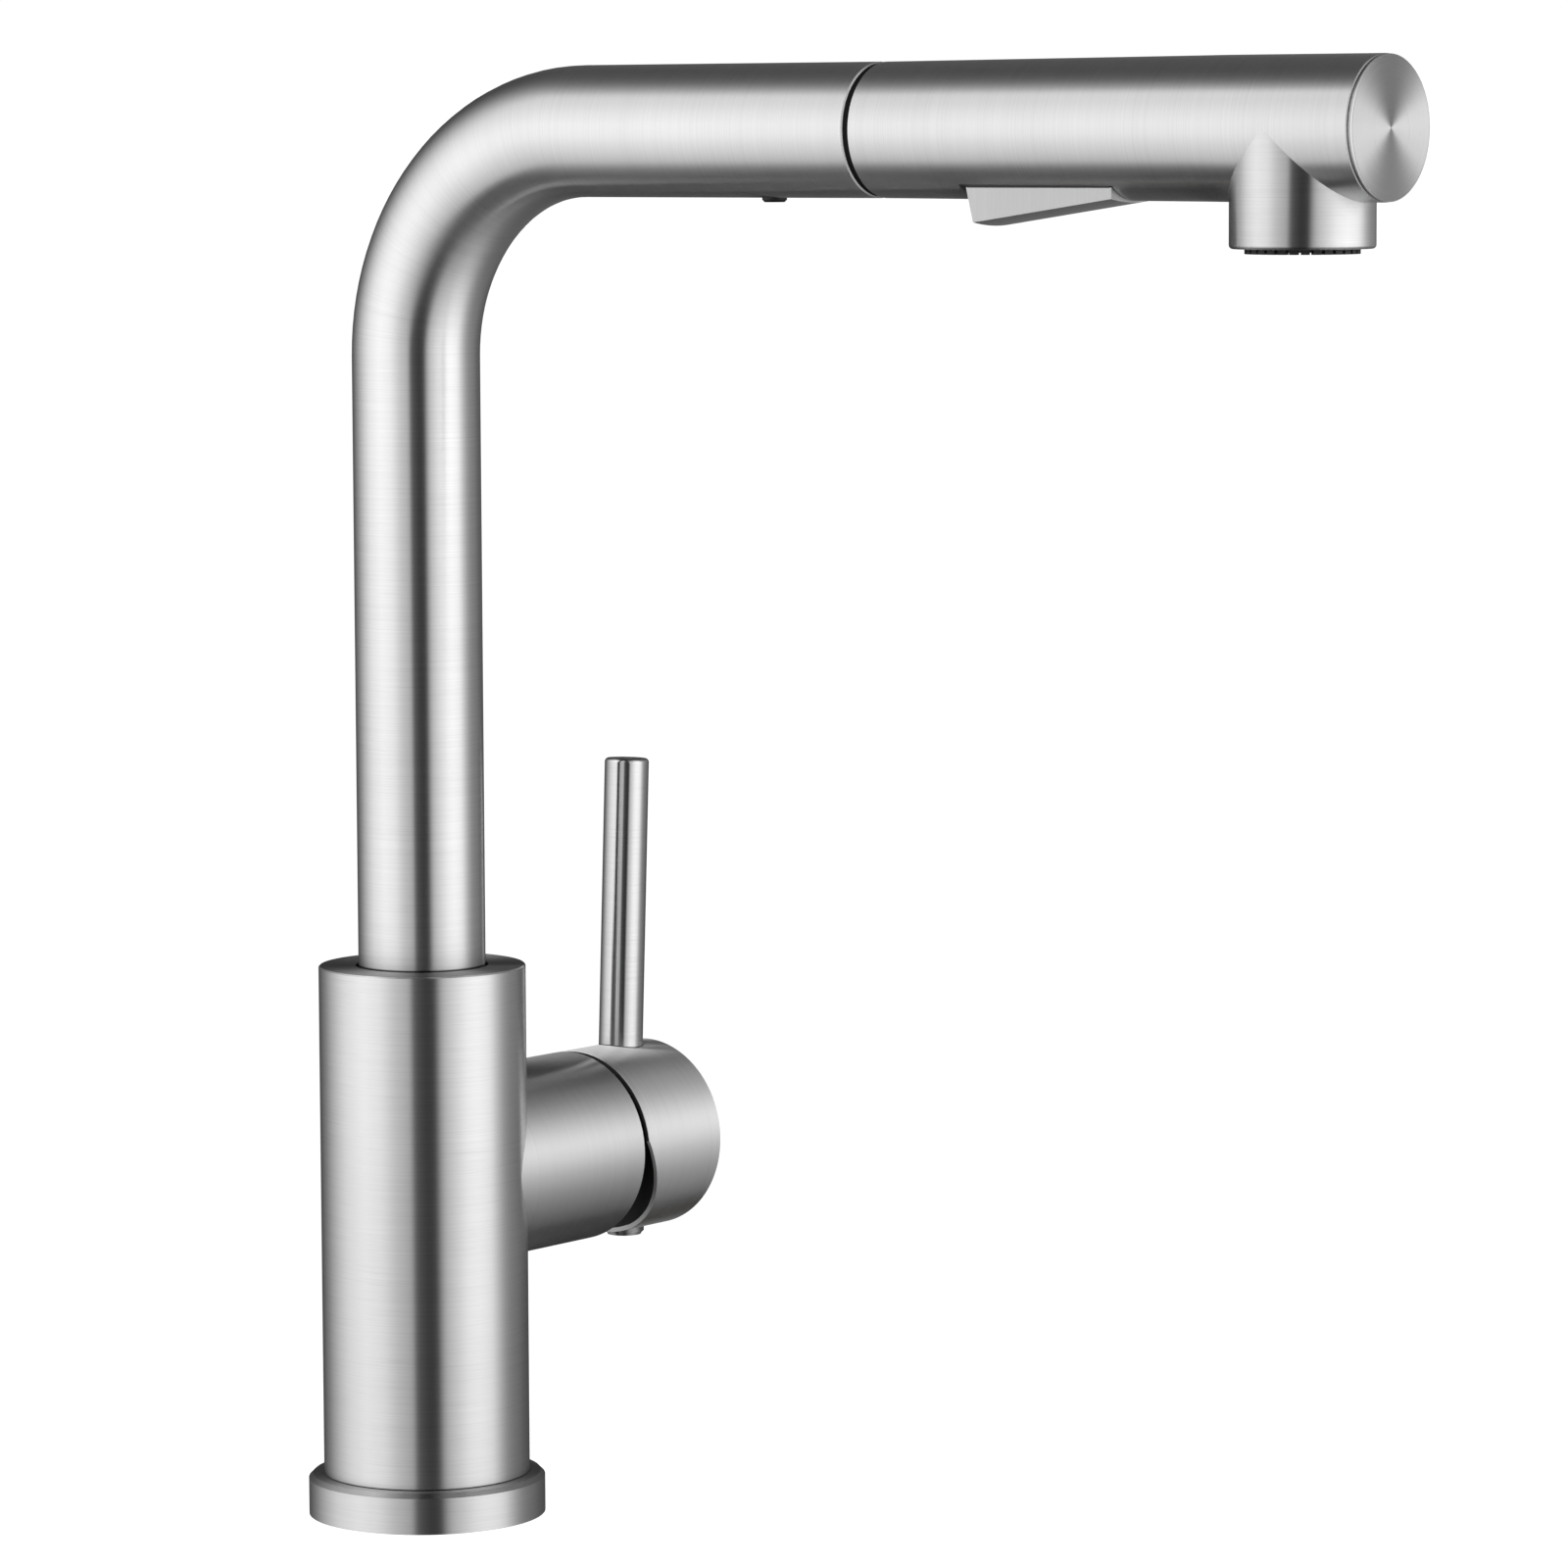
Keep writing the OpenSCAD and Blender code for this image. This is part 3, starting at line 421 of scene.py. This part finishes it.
def turned_steel(name, axis, centre, painted_shade_bore=0.0, painted_dark_end=0, **looks):
    material, t, place = new_material(name)
    brushed(t, straight_lay(t, place, axis, centre, painted_shade_bore, painted_dark_end), **looks)
    return material


def body_steel(name):
    """The body is painted darker in a thin line where it stands on the base ring, and on its flat top, as
    painted shade.
    """
    material, t, place = new_material(name)
    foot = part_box("body_shell")[0].z
    painted_seam_shade = t.ranged(t.split(place)[2], foot + 0.15 * MM, foot + 0.45 * MM, 0.9, 0, smooth=True)
    brushed(t, straight_lay(t, place, "Z", (0, 0, 0)), shade=painted_seam_shade, end_tone=0.50, end_rough=0.50)
    return material


def spout_steel(name):
    """The column is painted darker in a thin line where it enters the body: painted shade."""
    material, t, place = new_material(name)
    along, arm, direction, _, _ = spout_run(t, place)
    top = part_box("body_shell")[1].z
    painted_seam_shade = t.ranged(along, top + 0.15 * MM, top + 0.50 * MM, 0.9, 0, smooth=True)
    brushed(t, Lay(t, along, arm, direction), shade=painted_seam_shade)
    return material


def head_steel(name):
    material, t, place = new_material(name)
    lay, nozzle = head_lay(t, place)
    # Painted shade: the nozzle is painted a little darker than the rest of the head, and the head's chamfers
    # darker too.
    brushed(t, lay, shade=t.math("MULTIPLY", nozzle, 0.14), chamfer_tone=0.75)
    return material


def cap_steel(name, centre):
    """A turned face with two wedges above and below the middle painted darker as shade, fixed to the cap.

    A thin line round its edge is painted dark as shade too, its chamfer is painted lighter as a highlight,
    and its colour is a darker copy of the steel, painted shade.
    """
    material, t, place = new_material(name)
    arm = t.vector("MULTIPLY", t.vector("SUBTRACT", place, centre), (1, 0, 1))
    upright = t.split(t.vector("NORMALIZE", arm))[2]
    # Painted shade: two darker wedges above and below the middle.
    above = t.ranged(upright, 0.30, 1.00, 0, 0.52, smooth=True)
    below = t.ranged(upright, -0.45, -1.00, 0, 0.42, smooth=True)
    reach = size("end_cap").x / 2 - 0.3 * MM
    lay = straight_lay(t, place, "Y", centre)
    # Painted shade: a thin dark line at the edge of the flat face.
    edge = t.ranged(t.vector("LENGTH", arm), reach - 0.25 * MM, reach - 0.05 * MM, 0, 0.5, smooth=True)
    shade = t.math("MAXIMUM", t.math("MAXIMUM", above, below), t.math("MULTIPLY", edge, lay.flat))
    brushed(t, lay, roughness=0.48, grain=0.9, tint=(0.66, 0.66, 0.66), shade=shade, chamfer_tone=1.45)
    return material


def rod_steel(name, centre):
    """The rod is painted darker in the narrow gap where it stands on the round hub, and its colour is a
    darker copy of the steel: both painted shade.
    """
    material, t, place = new_material(name)
    arm = t.vector("MULTIPLY", t.vector("SUBTRACT", place, (0, 0, HANDLE_Z)), (0, 1, 1))
    from_handle = t.vector("LENGTH", arm)
    # Painted shade where the rod meets the hub.
    foot = t.ranged(from_handle, HUB_R + 0.05 * MM, HUB_R + 0.30 * MM, 0.95, 0, smooth=True)
    brushed(t, straight_lay(t, place, "Z", centre), roughness=0.20, tint=(0.56, 0.56, 0.56), shade=foot)
    return material


def toggle_steel(name):
    """The toggle's upper side, which faces into the head, is painted near black as shade, and its colour is a
    darker copy of the steel, painted shade too.
    """
    material, t, place = new_material(name)
    lay = straight_lay(t, place, "Y", (0, 0, HEAD_Z))
    painted_shade_top = t.split(t.node("ShaderNodeTexCoord").outputs["Normal"])[2]
    # Painted shade on the upward faces.
    lay.inner = t.math("MAXIMUM", lay.inner, t.math("GREATER_THAN", painted_shade_top, 0.8))
    brushed(t, lay, roughness=0.46, anisotropy=0.8, grain=0.6, tint=(0.55, 0.55, 0.55))
    return material


# ---------------------------------------------------------------- other materials


def plain(name, colour, roughness, metallic=0.0, speck=0.04, grain_scale=900.0, bump=1.0e-5, **sockets):
    """A moulded, plated or machined finish: fine grain in colour, roughness and height."""
    material, t, place = new_material(name)
    grain = t.noise(place, scale=grain_scale, detail=4, roughness=0.6)
    cloud = t.noise(place, scale=60, detail=3)
    tone = t.math("ADD", t.math("MULTIPLY_ADD", grain, 2 * speck, 1 - speck),
                  t.math("MULTIPLY_ADD", cloud, 0.06, -0.03))
    shade = t.vector("SCALE", colour)
    t.feed(shade.node.inputs["Scale"], tone)
    rough = t.math("ADD", t.math("MULTIPLY_ADD", grain, 0.10, roughness - 0.05),
                   t.math("MULTIPLY_ADD", cloud, 0.08, -0.04))
    height = t.node("ShaderNodeBump", {"Height": grain, "Strength": 0.6, "Distance": bump})
    shader = t.node("ShaderNodeBsdfPrincipled", {
        "Base Color": shade, "Roughness": rough, "Metallic": metallic, "Normal": height.outputs[0],
        **sockets})
    out = t.node("ShaderNodeOutputMaterial")
    t.feed(out.inputs["Surface"], shader.outputs[0])
    return material


def braid(name):
    """Woven nylon sleeve: two sets of strands wound opposite ways round the hose."""
    material, t, place = new_material(name)
    along, _, _, x, across = spout_run(t, place)
    angle = t.math("ARCTAN2", x, across)
    strands, pitch = 12, 9.5 * MM
    climb = t.math("MULTIPLY", along, 2 * math.pi * strands / 2 / pitch)
    wound = t.math("MULTIPLY", angle, strands)
    right = t.math("SINE", t.math("ADD", wound, climb))
    left = t.math("SINE", t.math("SUBTRACT", wound, climb))
    over = t.math("GREATER_THAN", t.math("MULTIPLY", right, left), 0)
    height = t.mix(over, t.math("ABSOLUTE", left), t.math("ABSOLUTE", right))
    thread = t.noise(place, scale=2600, detail=2)
    # The strands are painted darker towards their edges, where they pass under each other: painted shade.
    tone = t.math("MULTIPLY_ADD", height, 0.10, t.math("MULTIPLY_ADD", thread, 0.05, 0.02))
    bump = t.node("ShaderNodeBump", {"Height": t.math("MULTIPLY_ADD", thread, 0.2, height), "Strength": 0.8,
                                     "Distance": 2.5e-4})
    shader = t.node("ShaderNodeBsdfPrincipled", {"Base Color": t.join(tone, tone, tone), "Roughness": 0.62,
                                                 "Sheen Weight": 0.2, "Normal": bump.outputs[0]})
    out = t.node("ShaderNodeOutputMaterial")
    t.feed(out.inputs["Surface"], shader.outputs[0])
    return material


def dress(material, *nodes):
    """Puts a material on CAD nodes, whose shapes stay as they are."""
    for name in nodes:
        slots = frame["nodes"][name].material_slots
        if not slots:
            frame["nodes"][name].data.materials.append(material)
        for slot in slots:
            slot.link = "OBJECT"
            slot.material = material


def dress_all():
    column, handle = (0, 0, 0), (0, 0, HANDLE_Z)
    dress(body_steel("steel_body"), "body_shell")
    # The ring's flat top and chamfer are painted darker as shade.
    dress(turned_steel("steel_ring", "Z", column, end_tone=0.62, end_rough=0.50, chamfer_tone=0.62),
          "base_ring")
    # The branch's end facing the hub is painted near black as shade.
    dress(turned_steel("steel_branch", "X", handle, painted_dark_end=1, roughness=0.33), "handle_branch")
    # The hub's colour is a lighter copy of the steel, painted light; its rear end and inside are painted dark
    # as shade.
    dress(turned_steel("steel_hub", "X", handle, painted_shade_bore=HUB_R - 1.0 * MM, painted_dark_end=-1, roughness=0.52,
                       tint=(0.90, 0.90, 0.90), inner=(0.07, 0.07, 0.07)), "handle_hub")
    dress(rod_steel("steel_rod", ROD), "lever_rod")
    # The plug's colour is a darker copy of the steel, painted shade.
    dress(turned_steel("steel_plug", "Z", PLUG, roughness=0.50, tint=(0.42, 0.42, 0.42)), "index_plug")
    dress(spout_steel("steel_spout"), "spout_tube")
    dress(head_steel("steel_head"), "head_shell")
    dress(cap_steel("steel_cap", middle("end_cap")), "end_cap")
    dress(toggle_steel("steel_toggle"), "spray_toggle")
    zinc = plain("zinc_plate", (0.62, 0.62, 0.63), 0.32, metallic=1.0, speck=0.08)
    brass = plain("machined_brass", (0.78, 0.60, 0.32), 0.28, metallic=1.0, speck=0.06)
    rubber = plain("black_rubber", (0.010, 0.010, 0.011), 0.62, speck=0.25, bump=2.0e-5)
    seal = plain("black_seal", (0.004, 0.004, 0.004), 0.75, speck=0.2, **{"Specular IOR Level": 0.15})
    black = plain("black_acetal", (0.012, 0.012, 0.013), 0.48, speck=0.2, **{"Specular IOR Level": 0.3})
    white = plain("white_acetal", (0.80, 0.80, 0.77), 0.38)
    ceramic = plain("lapped_ceramic", (0.86, 0.84, 0.80), 0.12, speck=0.02)
    by_slot = {"zinc_steel": zinc, "brass": brass, "black_rubber": rubber, "black_plastic": black,
               "white_plastic": white, "ceramic": ceramic}
    for row in frame["record"]["subparts"]:
        if row["material_slot"] in by_slot:
            dress(by_slot[row["material_slot"]], row["node"])
    dress(seal, "dock_ring", "dome_cover", "upper_bush")
    make_hose(braid("nylon_braid"))
    make_shank(brass)
    make_toggle_shade_strips(rubber)


# ---------------------------------------------------------------- detailed pieces

HOSE_R = 6.5 * MM
HOSE_SIDES = 40
FREE_FROM, FREE_TO = 50 * MM, 103 * MM    # the run of hose that draws out, along the spout from the column
THREAD_PITCH, THREAD_DEEP = 1.5 * MM, 0.8 * MM
SHANK_WALL = 1.5 * MM
SHANK_SIDES = 96
LIP_TOP, LIP_FOOT = 11.12 * MM, 11.68 * MM    # below the head's axis
LIP_GAP, LIP_REACH = 0.03 * MM, 0.27 * MM     # from the toggle's side to the lip's near and far faces
LIP_EDGE = 0.06 * MM
LIP_SHORT = 0.4 * MM                          # by how much each end stops short of the toggle's


def skin(name, rings, loop, material, body=None):
    """A closed skin through rings of points. A loop joins the last ring to the first; if not, it has caps."""
    count = len(rings[0])
    faces = []
    for i in range(len(rings) if loop else len(rings) - 1):
        low, high = i * count, (i + 1) % len(rings) * count
        faces += [(low + k, low + (k + 1) % count, high + (k + 1) % count, high + k) for k in range(count)]
    if not loop:
        faces += [tuple(reversed(range(count))), tuple(range((len(rings) - 1) * count, len(rings) * count))]
    mesh = bpy.data.meshes.new(name)
    mesh.from_pydata([point for ring in rings for point in ring], [], faces)
    work = bmesh.new()
    work.from_mesh(mesh)
    bmesh.ops.recalc_face_normals(work, faces=work.faces)
    work.to_mesh(mesh)
    work.free()
    mesh.shade_smooth()
    mesh.set_sharp_from_angle(angle=math.radians(35))
    mesh.materials.append(material)
    piece = bpy.data.objects.new(name, mesh)
    bpy.context.scene.collection.objects.link(piece)
    if body:
        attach(piece, body)
    return piece


def spread(start, end, step):
    """Even places from start up to, but not including, end."""
    count = max(1, round((end - start) / step))
    return [start + (end - start) * i / count for i in range(count)]


def make_hose(material):
    """The braided hose: up the column, round the bend and into the head."""
    low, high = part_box("pull_out_hose")
    quarter = math.pi / 2
    stations = [(Vector((0, 0, z)), 0.0) for z in spread(low.z, BEND_Z, 6 * MM)]
    for turn in spread(0, quarter, quarter / 30):
        stations.append((Vector((0, BEND_R * (math.cos(turn) - 1), BEND_Z + BEND_R * math.sin(turn))), turn))
    runs = [(BEND_R, FREE_FROM, 0.6 * MM), (FREE_FROM, FREE_TO, 0.5 * MM), (FREE_TO, -low.y, 3 * MM)]
    for start, end, step in runs:
        stations += [(Vector((0, -reach, SPOUT_Z)), quarter) for reach in spread(start, end, step)]
    stations.append((Vector((0, low.y, SPOUT_Z)), quarter))
    rings = []
    for centre, turn in stations:
        across = Vector((0, math.cos(turn), math.sin(turn)))
        angles = [2 * math.pi * k / HOSE_SIDES for k in range(HOSE_SIDES)]
        rings.append([centre + HOSE_R * (Vector((math.cos(a), 0, 0)) + across * math.sin(a)) for a in angles])
    hose = skin("braided_hose", rings, False, material)
    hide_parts("pull_out_hose")
    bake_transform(hose)


def make_shank(material):
    """The brass shank with its real screw thread between the plain pilot and the deck."""
    low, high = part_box("mounting_shank")
    outer = size("mounting_shank").x / 2
    pilot_top, thread_top = low.z + 9 * MM, -3 * MM
    pilot_r = outer - 0.4 * MM
    bore_r = outer - SHANK_WALL
    angles = [2 * math.pi * k / SHANK_SIDES for k in range(SHANK_SIDES)]

    def ring(z, radius_at):
        return [(radius_at(a) * math.cos(a), radius_at(a) * math.sin(a), z) for a in angles]

    def thread(z):
        fade = min(1, (z - pilot_top) / THREAD_PITCH, (thread_top - z) / THREAD_PITCH)

        def radius_at(a):
            phase = (z / THREAD_PITCH - a / (2 * math.pi)) % 1
            flank = min(1, max(0, 1.25 - abs(2 * phase - 1) * 1.5))
            return outer - THREAD_DEEP * flank * max(0, fade)
        return radius_at

    rings = [ring(low.z, lambda a: pilot_r), ring(pilot_top, lambda a: pilot_r)]
    rings += [ring(z, thread(z)) for z in spread(pilot_top, thread_top, THREAD_PITCH / 7)]
    rings += [ring(thread_top, lambda a: outer), ring(high.z, lambda a: outer)]
    rings += [ring(high.z, lambda a: bore_r), ring(low.z, lambda a: bore_r)]
    shank = skin("threaded_shank", rings, True, material, "body")
    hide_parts("mounting_shank")


def make_toggle_shade_strips(material):
    """Thin black rubber strips on each side of the toggle close the line of sight through the head above it:
    dark sheets put there as painted shade, so the slot reads as a shadow line.
    """
    low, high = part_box("spray_toggle")
    half = size("spray_toggle").x / 2
    inner, outer = half + LIP_GAP, half + LIP_REACH
    foot, top = HEAD_Z - LIP_FOOT, HEAD_Z - LIP_TOP
    start, end = low.y + LIP_SHORT, high.y - LIP_SHORT
    profile = [(inner, foot + LIP_EDGE), (inner + LIP_EDGE, foot), (outer - LIP_EDGE, foot),
               (outer, foot + LIP_EDGE), (outer, top), (inner, top)]
    for side, name in ((-1, "toggle_shade_strip_left"), (1, "toggle_shade_strip_right")):
        rings = [[(side * x, y, z) for x, z in profile] for y in spread(start, end, 3 * MM) + [end]]
        skin(name, rings, False, material, "spray_head")


make_camera()
make_backdrop()
make_tent()
make_floor()
dress_all()
